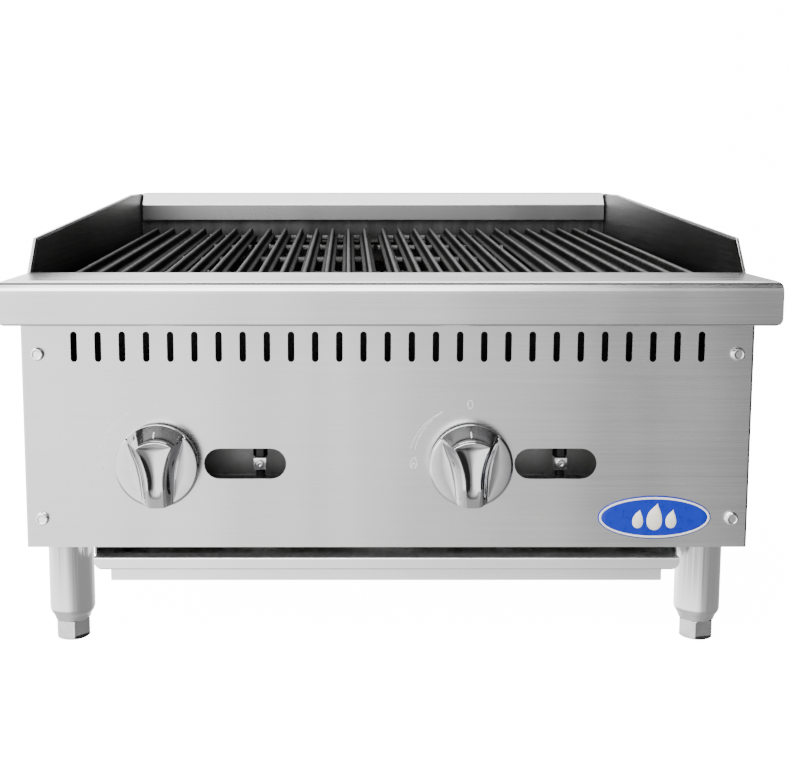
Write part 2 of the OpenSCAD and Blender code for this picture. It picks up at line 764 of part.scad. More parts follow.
module drip_tray() {
    t = sheet_t;
    z0 = tray_top_z - tray_h;
    z1 = tray_top_z;
    lip = bend([
        [tray_front_y + 4, z1], [tray_lip_y, z1], [tray_lip_y, z1 - tray_lip_h], [tray_lip_y + 3.5, z1 - tray_lip_h]
    ], 1.5);
    color("lightgray") {
        difference() {
            union() {
                block([-tray_x, tray_front_y, z0], [tray_x, tray_back_y, z1]);
                block([-rim_x, tray_front_y, z1 - t], [rim_x, tray_back_y, z1]);
                intersection() {
                    along_x(folded(lip, t), -rim_x, rim_x);
                    along_y(rounded(-rim_x, z1 - tray_lip_h, rim_x, z1 + past, [8, 8, 0.5, 0.5]),
                        tray_lip_y - past, tray_front_y + 5);
                }
            }
            block([-tray_x + t, tray_front_y + t, z0 + t], [tray_x - t, tray_back_y - t, z1 + past]);
        }
    }
}

// One bar, from y = 0, centred on x = 0, with its underside at z = 0
module grate_bar() {
    w = [bar_top_w / 2, bar_foot_w / 2, flange_w / 2];
    h = grate_h;
    section = [
        [-w[2], 0], [w[2], 0], [w[2], flange_h - 1.5], [w[1], flange_h + 1], [w[0], h - 1], [w[0] - 1, h],
        [1 - w[0], h], [-w[0], h - 1], [-w[1], flange_h + 1], [-w[2], flange_h - 1.5]
    ];
    r = 9;
    ends = rounded(0, 0, grate_len, h, [1, 1, r, r]);
    intersection() {
        along_y(section, 0, grate_len);
        along_x(ends, -w[2] - past, w[2] + past);
    }
}

module grate(x) {
    step = (grate_len - tie_w) / (tie_count - 1);
    half = (bar_count - 1) / 2 * bar_pitch;
    color("dimgray") translate([x, grate_front_y, grate_low_z]) rotate([grate_tilt, 0, 0]) {
        for (i = [0 : bar_count - 1])
            translate([(i - (bar_count - 1) / 2) * bar_pitch, 0, 0]) grate_bar();
        for (k = [0 : tie_count - 1]) {
            edge = half + flange_w / 2 + (k % 2 == 1 ? lug_out : -0.5);
            block([-edge, k * step + 0.5, 0.4], [edge, k * step + tie_w - 0.5, flange_h - 1]);
        }
    }
}

module stem_collar(x) {
    color("gainsboro") difference() {
        rod_y(x, knob_z, 9.5, collar_y, collar_y + collar_t);
        rod_y(x, knob_z, stem_r + fit, collar_y - past, collar_y + collar_t + past);
    }
}

module valve_stem(x) {
    color("goldenrod") rod_y(x, knob_z, stem_r, knob_back_y - 16, valve_y + 9);
}

module knob(x) {
    r = knob_r;
    d = knob_d;
    h = knob_skirt_d;
    shelf_r = r - 1.3;
    fan_r = r - 13;
    skirt = [[0, 0], [r - 0.7, 0], [r, 0.7], [r, h - 1.6], [shelf_r, h], [0, h]];
    dome = [[0, 1], [shelf_r - 1, 1], [shelf_r - 1, h], [fan_r, d - 0.8], [fan_r - 0.8, d], [0, d]];
    half = [[6.5, -r], [7.2, -20], [9, -4], [12.5, 8], [17.5, 17], [24, 25], [24, r]];
    waist = concat(half, [for (i = [len(half) - 1 : -1 : 0]) [-half[i][0], half[i][1]]]);
    color("gainsboro") translate([x, knob_back_y, knob_z]) difference() {
        union() {
            rotate([90, 0, 0]) rotate_extrude() polygon(skirt);
            intersection() {
                rotate([90, 0, 0]) rotate_extrude() polygon(dome);
                along_y(waist, -d - past, -h / 2);
            }
        }
        rod_y(0, 0, stem_r + fit, -16.5, past);
    }
}

control_panel();
front_rail();
side_panel(-1);  // left_side_panel
side_panel(1);  // right_side_panel
back_panel();
backsplash();
side_liner(-1);  // left_side_liner
side_liner(1);  // right_side_liner
rear_liner();
front_baffle();
grease_deflector(-1);  // left_grease_deflector
grease_deflector(1);  // right_grease_deflector
front_base_channel();
rear_base_channel();
side_base_channel(-1);  // left_base_channel
side_base_channel(1);  // right_base_channel
front_grate_rest();
rear_grate_rest();
front_radiant_rest();
rear_radiant_rest();
burner_support();
tray_rail(-1);  // left_tray_rail
tray_rail(1);  // right_tray_rail
leg(-1, leg_y[0]);  // front_left_leg
leg(1, leg_y[0]);  // front_right_leg
leg(-1, leg_y[1]);  // rear_left_leg
leg(1, leg_y[1]);  // rear_right_leg
leg_bolts();
panel_screws();
back_screws();
gas_manifold();
gas_inlet_pipe();
gas_valve(knob_x[0]);  // left_gas_valve
gas_valve(knob_x[1]);  // right_gas_valve
orifice_hoods();
burner(burner_x[0]);  // left_burner
burner(burner_x[1]);  // right_burner
pilot_valves();
pilot_tubes();
pilot_burners();
radiant(radiant_x[0]);  // radiant_1
radiant(radiant_x[1]);  // radiant_2
radiant(radiant_x[2]);  // radiant_3
radiant(radiant_x[3]);  // radiant_4
badge();
drip_tray();
grate(grate_x[0]);  // grate_1
grate(grate_x[1]);  // grate_2
grate(grate_x[2]);  // grate_3
grate(grate_x[3]);  // grate_4
foot(-1, leg_y[0]);  // front_left_foot
foot(1, leg_y[0]);  // front_right_foot
foot(-1, leg_y[1]);  // rear_left_foot
foot(1, leg_y[1]);  // rear_right_foot
stem_collar(knob_x[0]);  // left_stem_collar
stem_collar(knob_x[1]);  // right_stem_collar
valve_stem(knob_x[0]);  // left_valve_stem
valve_stem(knob_x[1]);  // right_valve_stem
knob(knob_x[0]);  // left_knob
knob(knob_x[1]);  // right_knob
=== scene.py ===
"""Looks of a two-burner countertop charbroiler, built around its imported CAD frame.

Everything is in metres in the frame's own axes: +X right, +Y to the back, +Z up. The sheet
metal, pipes and legs are the CAD's own solids with softened edges and new materials. The
knobs, grates, screws, badge, panel marks and small fittings are modelled here.
"""
import json
import math
import random

import bpy
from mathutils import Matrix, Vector


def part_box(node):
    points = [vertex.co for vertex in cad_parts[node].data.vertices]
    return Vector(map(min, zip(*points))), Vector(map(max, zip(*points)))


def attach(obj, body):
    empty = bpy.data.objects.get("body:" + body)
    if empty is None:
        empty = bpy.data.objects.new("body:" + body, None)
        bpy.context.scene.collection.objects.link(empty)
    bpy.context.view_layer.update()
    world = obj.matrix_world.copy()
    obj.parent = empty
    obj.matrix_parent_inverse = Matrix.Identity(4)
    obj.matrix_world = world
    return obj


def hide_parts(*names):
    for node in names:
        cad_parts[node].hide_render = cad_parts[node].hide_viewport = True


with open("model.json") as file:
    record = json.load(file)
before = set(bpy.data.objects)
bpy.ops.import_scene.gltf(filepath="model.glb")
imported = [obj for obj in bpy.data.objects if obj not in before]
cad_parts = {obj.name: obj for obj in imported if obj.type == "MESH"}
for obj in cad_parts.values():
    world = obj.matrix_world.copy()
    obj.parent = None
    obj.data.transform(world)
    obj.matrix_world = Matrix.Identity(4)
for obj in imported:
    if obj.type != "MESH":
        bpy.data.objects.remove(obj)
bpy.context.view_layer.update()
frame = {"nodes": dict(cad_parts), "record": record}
nodes = frame["nodes"]
scene = bpy.context.scene

MM = 0.001


# ---- places that come from the frame ----

def centre(node):
    """Middle of a CAD node's box."""
    low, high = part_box(node)
    return Vector([(a + b) / 2 for a, b in zip(low, high)])


panel_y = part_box("control_panel")[0][1]
back_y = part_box("back_panel")[1][1]


# ---- meshes ----

def add_mesh(name, verts, faces, material, body, sharp=32):
    """A smooth-shaded piece in the frame's own axes, which rides on a body."""
    mesh = bpy.data.meshes.new(name)
    mesh.from_pydata([tuple(v) for v in verts], [], faces)
    mesh.validate()
    mesh.shade_smooth()
    mesh.set_sharp_from_angle(angle=math.radians(sharp))
    mesh.materials.append(material)
    piece = bpy.data.objects.new(name, mesh)
    scene.collection.objects.link(piece)
    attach(piece, body)
    return piece


class Shape:
    """Collects vertices and faces of one piece."""

    def __init__(self):
        self.verts = []
        self.faces = []

    def loft(self, rings, cap_start=True, cap_end=True):
        """Skin over closed rings with the same number of points each."""
        base = len(self.verts)
        count = len(rings[0])
        for ring in rings:
            self.verts.extend(Vector(p) for p in ring)
        for r in range(len(rings) - 1):
            a = base + r * count
            for i in range(count):
                j = (i + 1) % count
                self.faces.append((a + i, a + j, a + count + j, a + count + i))
        if cap_start:
            self.faces.append(tuple(base + i for i in reversed(range(count))))
        if cap_end:
            last = base + (len(rings) - 1) * count
            self.faces.append(tuple(last + i for i in range(count)))

    def join(self, other):
        """Takes in another shape."""
        offset = len(self.verts)
        self.verts.extend(other.verts)
        self.faces.extend(tuple(v + offset for v in face) for face in other.faces)

    def fan(self, ring_start, count, point, flip=False):
        """Closes a ring of the shape with triangles to a point."""
        self.verts.append(Vector(point))
        tip = len(self.verts) - 1
        for i in range(count):
            a, b = ring_start + i, ring_start + (i + 1) % count
            self.faces.append((b, a, tip) if flip else (a, b, tip))


def turn(count):
    """count angles spread over a full turn, in radians."""
    return [math.tau * i / count for i in range(count)]


def circle(radius, count):
    """Points of a circle in a plane, counter-clockwise."""
    return [(radius * math.cos(a), radius * math.sin(a)) for a in turn(count)]


def arc(cx, cy, radius, a0, a1, count):
    """count + 1 points along an arc, angles in degrees."""
    out = []
    for i in range(count + 1):
        a = math.radians(a0 + (a1 - a0) * i / count)
        out.append((cx + radius * math.cos(a), cy + radius * math.sin(a)))
    return out


def inset(ring, depth):
    """A closed plane outline moved inwards by depth. The outline runs counter-clockwise."""
    out = []
    count = len(ring)
    for i, (x, y) in enumerate(ring):
        ax, ay = ring[i - 1]
        bx, by = ring[(i + 1) % count]
        before = Vector((x - ax, y - ay)).normalized()
        after = Vector((bx - x, by - y)).normalized()
        normal = Vector((-before.y - after.y, before.x + after.x))
        if normal.length < 1e-6:
            normal = Vector((-before.y, before.x))
        normal.normalize()
        share = max(0.5, normal.dot(Vector((-before.y, before.x))))
        out.append((x + normal.x * depth / share, y + normal.y * depth / share))
    return out


# ---- materials ----

def set_range(node, low_in, high_in, low, high):
    """Fills in a Map Range node."""
    for socket, number in (("From Min", low_in), ("From Max", high_in),
                           ("To Min", low), ("To Max", high)):
        node.inputs[socket].default_value = number


class Graph:
    """A material whose Principled BSDF is fed by a few procedural nodes."""

    def __init__(self, name, **constants):
        self.material = bpy.data.materials.new(name)
        self.material.use_nodes = True
        self.tree = self.material.node_tree
        self.bsdf = self.tree.nodes["Principled BSDF"]
        for socket, value in constants.items():
            self.bsdf.inputs[socket.replace("_", " ")].default_value = value
        self.place = self.node("ShaderNodeTexCoord").outputs["Object"]

    def node(self, kind, **settings):
        made = self.tree.nodes.new(kind)
        for key, value in settings.items():
            setattr(made, key, value)
        return made

    def link(self, source, target):
        self.tree.links.new(source, target)

    def noise(self, scale, detail=4.0, rough=0.55, distort=0.0):
        """Noise in the piece's own axes. scale is in features per metre, along X, Y and Z."""
        mapping = self.node("ShaderNodeMapping")
        mapping.inputs["Scale"].default_value = scale
        self.link(self.place, mapping.inputs["Vector"])
        noise = self.node("ShaderNodeTexNoise")
        noise.inputs["Scale"].default_value = 1.0
        noise.inputs["Detail"].default_value = detail
        noise.inputs["Roughness"].default_value = rough
        noise.inputs["Distortion"].default_value = distort
        self.link(mapping.outputs["Vector"], noise.inputs["Vector"])
        return noise.outputs["Fac"]

    def spread(self, value, low, high, low_in=0.3, high_in=0.7):
        """A value mapped to a range."""
        made = self.node("ShaderNodeMapRange")
        set_range(made, low_in, high_in, low, high)
        self.link(value, made.inputs["Value"])
        return made.outputs["Result"]

    def along(self, axis):
        """Place along one axis of the frame, in metres."""
        split = self.node("ShaderNodeSeparateXYZ")
        self.link(self.place, split.inputs["Vector"])
        return split.outputs[axis]

    def math(self, operation, a, b):
        made = self.node("ShaderNodeMath", operation=operation)
        for socket, value in zip(made.inputs, (a, b)):
            if isinstance(value, (int, float)):
                socket.default_value = value
            else:
                self.link(value, socket)
        return made.outputs["Value"]

    def blend(self, fac, a, b):
        """Colour a where fac is 0 and colour b where it is 1."""
        made = self.node("ShaderNodeMix", data_type="RGBA")
        self.link(fac, made.inputs[0])
        for socket, value in ((made.inputs[6], a), (made.inputs[7], b)):
            if isinstance(value, tuple):
                socket.default_value = (*value, 1.0)
            else:
                self.link(value, socket)
        return made.outputs[2]

    def bump(self, *layers):
        """Bump layers of (height, strength, distance in metres), the first one underneath."""
        normal = None
        for height, strength, distance in layers:
            made = self.node("ShaderNodeBump")
            made.inputs["Strength"].default_value = strength
            made.inputs["Distance"].default_value = distance
            self.link(height, made.inputs["Height"])
            if normal:
                self.link(normal, made.inputs["Normal"])
            normal = made.outputs["Normal"]
        self.link(normal, self.bsdf.inputs["Normal"])

    def feed(self, socket, value):
        self.link(value, self.bsdf.inputs[socket])


# Streaks per metre for a grain that runs along each axis
GRAIN = {"x": (6, 1100, 1100), "y": (1100, 6, 1100), "z": (1100, 1100, 6)}


def sheet_metal(name, dark, light, rough, grain, wave=0.0022, painted_shade_below=None):
    """Rolled or brushed metal whose grain runs along one axis, with the soft waves of thin sheet.

    The last argument is a height and a factor: below that height the sheet's colour is darkened by the
    factor, a painted shade.
    """
    g = Graph(name, Metallic=1.0)
    streak = g.noise(GRAIN[grain], detail=3.0, rough=0.6)
    broad = g.noise(tuple(s / 7 if s > 100 else s / 2 for s in GRAIN[grain]), detail=2.0)
    cloud = g.noise((7, 7, 7), detail=3.0)
    mixed = g.math("ADD", g.math("MULTIPLY", streak, 0.4), g.math("MULTIPLY", broad, 0.2))
    mixed = g.math("ADD", mixed, g.math("MULTIPLY", cloud, 0.4))
    colour = g.blend(g.spread(mixed, 0.0, 1.0, 0.36, 0.64), dark, light)
    # Painted shade: below the given height the colour is darkened by the factor
    if painted_shade_below:
        height, factor = painted_shade_below
        above = g.spread(g.along("Z"), 0.0, 1.0, height - MM, height + MM)
        colour = g.blend(above, tuple(c * factor for c in dark), colour)
    g.feed("Base Color", colour)
    g.feed("Roughness", g.spread(mixed, rough - 0.035, rough + 0.035, 0.36, 0.64))
    g.bump((g.noise((8.0, 8.0, 1.4), detail=1.0, distort=0.3), 1.0, wave), (streak, 0.32, 0.00003))
    return g.material


def cast_iron():
    """Seasoned cast iron: pitted and dark, and grey along the top of each bar, partly wear and partly a
    painted highlight.
    """
    g = Graph("cast_iron", Metallic=1.0, Specular_Tint=(0.30, 0.30, 0.30, 1.0))
    pits = g.noise((900, 900, 900), detail=4.0)
    lumps = g.noise((120, 120, 160), detail=3.0)
    cloud = g.noise((18, 9, 18), detail=3.0)
    # Grey mask of wear and painted highlight, stored on the grate's vertices
    wear_and_highlight = g.node("ShaderNodeAttribute", attribute_name="wear_and_highlight").outputs["Fac"]
    wear_and_highlight = g.math("MULTIPLY", wear_and_highlight, g.spread(lumps, 0.5, 1.0))
    body = g.blend(g.spread(cloud, 0.0, 1.0), (0.014, 0.014, 0.014), (0.034, 0.0335, 0.033))
    g.feed("Base Color", g.blend(wear_and_highlight, body, (0.26, 0.26, 0.26)))
    rough = g.math("ADD", g.spread(pits, 0.38, 0.56), g.math("MULTIPLY", wear_and_highlight, -0.10))
    g.feed("Roughness", rough)
    g.bump((lumps, 0.7, 0.0006), (pits, 0.5, 0.00018))
    return g.material


def chrome():
    """Bright plating with faint smudges and the slight waviness of a die casting."""
    g = Graph("chrome", Metallic=1.0)
    smudge = g.noise((60, 60, 60), detail=4.0, distort=0.6)
    g.feed("Base Color", g.blend(g.spread(smudge, 0.0, 1.0), (0.50, 0.50, 0.51), (0.57, 0.57, 0.58)))
    g.feed("Roughness", g.spread(smudge, 0.03, 0.07))
    g.bump((g.noise((38, 38, 38), detail=1.0), 0.5, 0.0003))
    return g.material


def dark_inner_stainless():
    """Inner sheets low in the fire box: stainless in a very dark grey with soft cloudy patches."""
    g = Graph("dark_stainless", Metallic=1.0)
    streak = g.noise((9, 9, 700), detail=3.0)
    cloud = g.noise((10, 10, 14), detail=4.0, distort=0.5)
    stain = g.spread(cloud, 0.0, 1.0)
    g.feed("Base Color", g.blend(stain, (0.060, 0.056, 0.053), (0.110, 0.107, 0.104)))
    g.feed("Roughness", g.spread(streak, 0.34, 0.50))
    g.bump((g.noise((5, 5, 3), detail=1.0), 1.0, 0.002), (streak, 0.5, 0.00006))
    return g.material


def side_liner():
    """Liner of a side shield: near black towards the front and low down, lighter towards the back and
    the top edge, a painted shade and painted reflection.
    """
    g = Graph("side_liner", Metallic=1.0, Specular_Tint=(0.68, 0.68, 0.68, 1.0))
    streak = g.noise((400, 7, 400), detail=3.0)
    cloud = g.noise((10, 6, 12), detail=4.0, distort=0.6)
    # Painted shade and painted reflection: dark at the front and low down, lighter at the back and the
    # top edge
    back = g.spread(g.along("Y"), 0.0, 1.0, -0.10, 0.26)
    rise = g.spread(g.along("Z"), 0.0, 1.0, 0.325, 0.375)
    edge = g.math("ADD", g.math("MULTIPLY", rise, 0.75), 0.25)
    painted_light_and_shade = g.math("MULTIPLY", g.math("POWER", back, 1.6), edge)
    painted_light_and_shade = g.math("ADD", painted_light_and_shade, g.math("MULTIPLY", g.spread(cloud, -0.5, 0.5), 0.10))
    g.feed("Base Color", g.blend(painted_light_and_shade, (0.008, 0.0077, 0.0075), (0.27, 0.27, 0.27)))
    g.feed("Roughness", g.spread(streak, 0.36, 0.48))
    g.bump((g.noise((5, 5, 3), detail=1.0), 1.0, 0.0015), (streak, 0.4, 0.00004))
    return g.material


def rear_wall():
    """Inner rear wall: grey with soft upright streaks below each bar's end, a painted reflection of the
    bars, and dark low down, a painted shade.
    """
    g = Graph("rear_wall", Metallic=1.0)
    streak = g.noise((55, 1, 5), detail=2.0, distort=0.2)
    fine = g.noise((600, 1, 20), detail=3.0)
    # Painted shade below about 0.33 m, and a painted reflection of the bars in the streaks
    rise = g.spread(g.along("Z"), 0.0, 1.0, 0.322, 0.338)
    painted_light_and_shade = g.math("MULTIPLY", g.spread(streak, 0.25, 1.0, 0.25, 0.75), rise)
    g.feed("Base Color", g.blend(painted_light_and_shade, (0.018, 0.0175, 0.017), (0.085, 0.085, 0.085)))
    g.feed("Roughness", g.spread(fine, 0.34, 0.46))
    g.bump((streak, 0.8, 0.0012), (fine, 0.4, 0.00004))
    return g.material


def baffle_sheet():
    """The sheet behind the control panel: plain grey low down and dark above, a painted shade."""
    g = Graph("baffle_sheet", Metallic=1.0)
    cloud = g.noise((20, 20, 20), detail=4.0, distort=0.3)
    fine = g.noise((500, 30, 500), detail=3.0)
    # Painted shade: dark above about 0.235 m, grey below 0.19 m
    low = g.spread(g.along("Z"), 1.0, 0.0, 0.19, 0.235)
    painted_light_and_shade = g.math("MULTIPLY", low, g.spread(cloud, 0.8, 1.0))
    g.feed("Base Color", g.blend(painted_light_and_shade, (0.04, 0.04, 0.04), (0.50, 0.50, 0.50)))
    g.feed("Roughness", g.spread(fine, 0.40, 0.52))
    g.bump((cloud, 0.5, 0.0008), (fine, 0.4, 0.00005))
    return g.material


def matt_metal(name, dark, light, rough, metallic=1.0, scale=140, depth=0.00015):
    """Plated, cast or machined metal with an even, fine mottling."""
    g = Graph(name, Metallic=metallic)
    fine = g.noise((scale * 6,) * 3, detail=3.0)
    cloud = g.noise((scale,) * 3, detail=4.0, distort=0.3)
    g.feed("Base Color", g.blend(g.spread(cloud, 0.0, 1.0), dark, light))
    g.feed("Roughness", g.spread(fine, rough - 0.06, rough + 0.08))
    g.bump((cloud, 0.4, depth * 2), (fine, 0.5, depth))
    return g.material


def enamel(name, dark, light, rough, coat=0.6, specular=0.5):
    """Glossy enamel or printed ink under a clear coat."""
    g = Graph(name, Metallic=0.0, Coat_Weight=coat, Coat_Roughness=0.06,
              Specular_IOR_Level=specular)
    cloud = g.noise((160, 160, 160), detail=3.0)
    g.feed("Base Color", g.blend(g.spread(cloud, 0.0, 1.0), dark, light))
    g.feed("Roughness", g.spread(cloud, rough - 0.05, rough + 0.05))
    g.bump((g.noise((320, 320, 320), detail=2.0), 0.25, 0.00012))
    return g.material


STAINLESS = (0.56, 0.56, 0.56), (0.64, 0.64, 0.635)

stainless_x = sheet_metal("stainless_grain_x", *STAINLESS, 0.26, "x")
stainless_y = sheet_metal("stainless_grain_y", *STAINLESS, 0.26, "y")
rail_look = sheet_metal("rail_stainless", *STAINLESS, 0.26, "x")
# The backsplash below 0.3708 m gets painted shade, its colour darkened to 0.47
splash_look = sheet_metal("splash_stainless", *STAINLESS, 0.24, "x", painted_shade_below=(0.3708, 0.47))
dark_stainless = dark_inner_stainless()
galvanised = matt_metal("galvanised", (0.36, 0.37, 0.38), (0.50, 0.51, 0.52), 0.42, scale=60)
leg_steel = sheet_metal("leg_steel", (0.62, 0.62, 0.62), (0.74, 0.74, 0.74), 0.17, "z", wave=0.0012)
foot_metal = matt_metal("foot_metal", (0.42, 0.42, 0.42), (0.54, 0.54, 0.54), 0.26, scale=80)
plated = matt_metal("plated_fastener", (0.78, 0.78, 0.79),
                    (0.90, 0.90, 0.91), 0.14, scale=200, depth=0.00005)
black_pipe = matt_metal("black_pipe", (0.26, 0.26, 0.265), (0.40, 0.40, 0.405), 0.34)
black_fitting = matt_metal("black_fitting", (0.012, 0.012, 0.013),
                           (0.03, 0.03, 0.03), 0.40, metallic=0.6)
brass = matt_metal("brass", (0.52, 0.36, 0.13), (0.72, 0.53, 0.24), 0.26, scale=90, depth=0.00006)
burner_steel = matt_metal("burner_steel", (0.20, 0.195, 0.19), (0.34, 0.33, 0.32), 0.45, scale=40)
radiant_steel = matt_metal("radiant_steel", (0.085, 0.08, 0.078),
                           (0.17, 0.16, 0.155), 0.48, scale=30)
tray_steel = sheet_metal("tray_steel", (0.84, 0.84, 0.84), (0.92, 0.92, 0.92), 0.36, "x", wave=0.0012)
iron = cast_iron()
liner_look = side_liner()
wall_look = rear_wall()
baffle_look = baffle_sheet()
plating = chrome()
blue_enamel = enamel("blue_enamel", (0.008, 0.020, 0.29),
                     (0.011, 0.026, 0.34), 0.30, coat=0.0, specular=0.2)
cream_enamel = enamel("cream_enamel", (0.70, 0.68, 0.58), (0.82, 0.80, 0.72), 0.30)
panel_ink = enamel("panel_ink", (0.80, 0.80, 0.80), (0.88, 0.88, 0.88), 0.35, coat=0.3)

SLOT_LOOKS = {
    "stainless": stainless_x, "dark_stainless": dark_stainless, "galvanised": galvanised,
    "leg_steel": leg_steel, "fastener": plated, "pipe": black_pipe, "brass": brass,
    "burner_steel": burner_steel, "radiant_steel": radiant_steel, "enamel": blue_enamel,
    "tray_steel": tray_steel, "cast_iron": iron, "chrome": plating,
}


# ---- the CAD's own solids: materials and softened edges ----

def soften(piece, width, segments=2, angle=28):
    """Rounds a CAD solid's edges. Its mesh has split vertices, which are joined first."""
    weld = piece.modifiers.new("join", "WELD")
    weld.merge_threshold = 2e-6
    flat = piece.modifiers.new("flat_faces", "DECIMATE")
    flat.decimate_type = "DISSOLVE"
    flat.angle_limit = math.radians(0.4)
    bevel = piece.modifiers.new("edges", "BEVEL")
    bevel.width = width
    bevel.segments = segments
    bevel.limit_method = "ANGLE"
    bevel.angle_limit = math.radians(angle)
    bevel.harden_normals = True
    bevel.use_clamp_overlap = True


OWN_LOOKS = {
    "left_side_panel": stainless_y, "right_side_panel": stainless_y, "left_side_liner": liner_look,
    "right_side_liner": liner_look, "rear_liner": wall_look, "front_baffle": baffle_look,
    "pilot_tubes": black_fitting, "front_rail": rail_look, "backsplash": splash_look,
    "front_left_foot": foot_metal, "front_right_foot": foot_metal,
    "rear_left_foot": foot_metal, "rear_right_foot": foot_metal,
}
EDGE_WIDTH = {
    "front_rail": 0.5 * MM, "control_panel": 0.3 * MM, "drip_tray": 0.35 * MM,
    "gas_manifold": 0.5 * MM, "gas_inlet_pipe": 0.5 * MM,
}

for entry in frame["record"]["subparts"]:
    name = entry["node"]
    look = OWN_LOOKS.get(name, SLOT_LOOKS[entry["material_slot"]])
    mesh = nodes[name].data
    if not mesh.materials:
        mesh.materials.append(look)
    for index in range(len(mesh.materials)):
        mesh.materials[index] = look
    if entry["material_slot"] not in ("cast_iron", "chrome", "enamel"):
        soften(nodes[name], EDGE_WIDTH.get(name, 0.3 * MM))


# ---- knobs ----

# All sizes of the knob are in mm. Its face is drawn in u to the right and v up, and its height
# is measured from the knob's back.
KNOB_R = 35.0
KNOB_TURN = math.radians(2.0)
FACET_H, FACET_R = 11.0, 32.6
RIM_DROP, CONE_RIM_DROP = 2.4, 0.7
CONE_FOOT_R, CONE_FOOT_H = 34.3, 8.9
GRIP_H = 23.0
FAN_R, FAN_TOP, FAN_HALF = 27.0, 22.9, 15.2
# Half widths of the grip's face and of its base, as rows of (v, half width)
FACE_HALF = ((-33.2, 6.0), (-23.0, 6.4), (-8.0, 7.1), (2.5, 9.0), (12.5, 12.2), (18.2, FAN_HALF))
BASE_HALF = ((-31.5, 12.6), (-22.0, 13.2), (-8.0, 14.2), (3.0, 16.4), (13.0, 20.2), (24.0, 23.5))
SCOOP_DEPTH, SCOOP_MIDDLE = 3.2, -2.0
GRIP_EDGE_DROP = 0.75
SLOPE_POWER = 1.12
# Reach from the grip's foot in mm and rise in mm, for the groove between grip and facet
GROOVE = ((0.25, -0.35), (0.6, -0.55), (0.95, -0.35), (1.15, 0.0), (1.5, 0.12), (1.9, 0.0))


def smooth(x, low, high):
    """0 below low, 1 above high and a smooth step between them."""
    t = min(1.0, max(0.0, (x - low) / (high - low)))
    return t * t * (3 - 2 * t)


def along(table, x):
    """Value at x on a smooth curve through the rows of a table of (x, value)."""
    if x <= table[0][0]:
        return table[0][1]
    for i in range(len(table) - 1):
        (x0, y0), (x1, y1) = table[i], table[i + 1]
        if x <= x1:
            before = table[max(0, i - 1)]
            after = table[min(len(table) - 1, i + 2)]
            m0 = (y1 - before[1]) / (x1 - before[0]) * (x1 - x0)
            m1 = (after[1] - y0) / (after[0] - x0) * (x1 - x0)
            t = (x - x0) / (x1 - x0)
            return (y0 * (2 * t ** 3 - 3 * t * t + 1) + m0 * (t ** 3 - 2 * t * t + t)
                    + y1 * (3 * t * t - 2 * t ** 3) + m1 * (t ** 3 - t * t))
    return table[-1][1]


def grip_outline(half, head_r, head_cv, foot_r, foot_points=9, side_points=30, head_points=31):
    """A grip's outline in mm, counter-clockwise from its lower left corner."""
    foot_v, head_v = half[0][0], half[-1][0]
    side = []
    for i in range(side_points + 1):
        v = foot_v + (head_v - foot_v) * i / side_points
        side.append((along(half, v), v))
    swing = math.degrees(math.asin(side[0][0] / foot_r))
    drop = foot_v + math.sqrt(foot_r ** 2 - side[0][0] ** 2)
    foot = [(u, v + drop) for u, v in arc(0, 0, foot_r, -90 - swing, -90 + swing, foot_points)]
    head_a = math.degrees(math.atan2(head_v - head_cv, side[-1][0]))
    head = arc(0, head_cv, head_r, head_a, 180 - head_a, head_points)
    return foot[1:-1] + side + head[1:-1] + [(-u, v) for u, v in reversed(side)]


def face_height(u, v):
    """Height of the grip's scooped face above the knob's back, in mm."""
    fan_cv = FAN_TOP - FAN_R
    if v < FACE_HALF[-1][0]:
        half = along(FACE_HALF, v)
    else:
        half = math.sqrt(max(1e-6, FAN_R ** 2 - (v - fan_cv) ** 2))
    across = max(0.0, 1 - (u / max(half, 1e-3)) ** 2)
    below = max(0.0, fan_cv + math.sqrt(max(0.0, FAN_R ** 2 - u * u)) - v)
    bowl = across * (1 - math.exp(-below / 4.0)) * smooth(v, -27.0, -9.0)
    return GRIP_H - foot_fall(v) - SCOOP_DEPTH * bowl


def foot_fall(v):
    """How far the foot of the grip's face falls away from its plane, in mm."""
    low = max(0.0, -17.0 - v)
    return 0.30 * low * smooth(low, 0.0, 1.6)


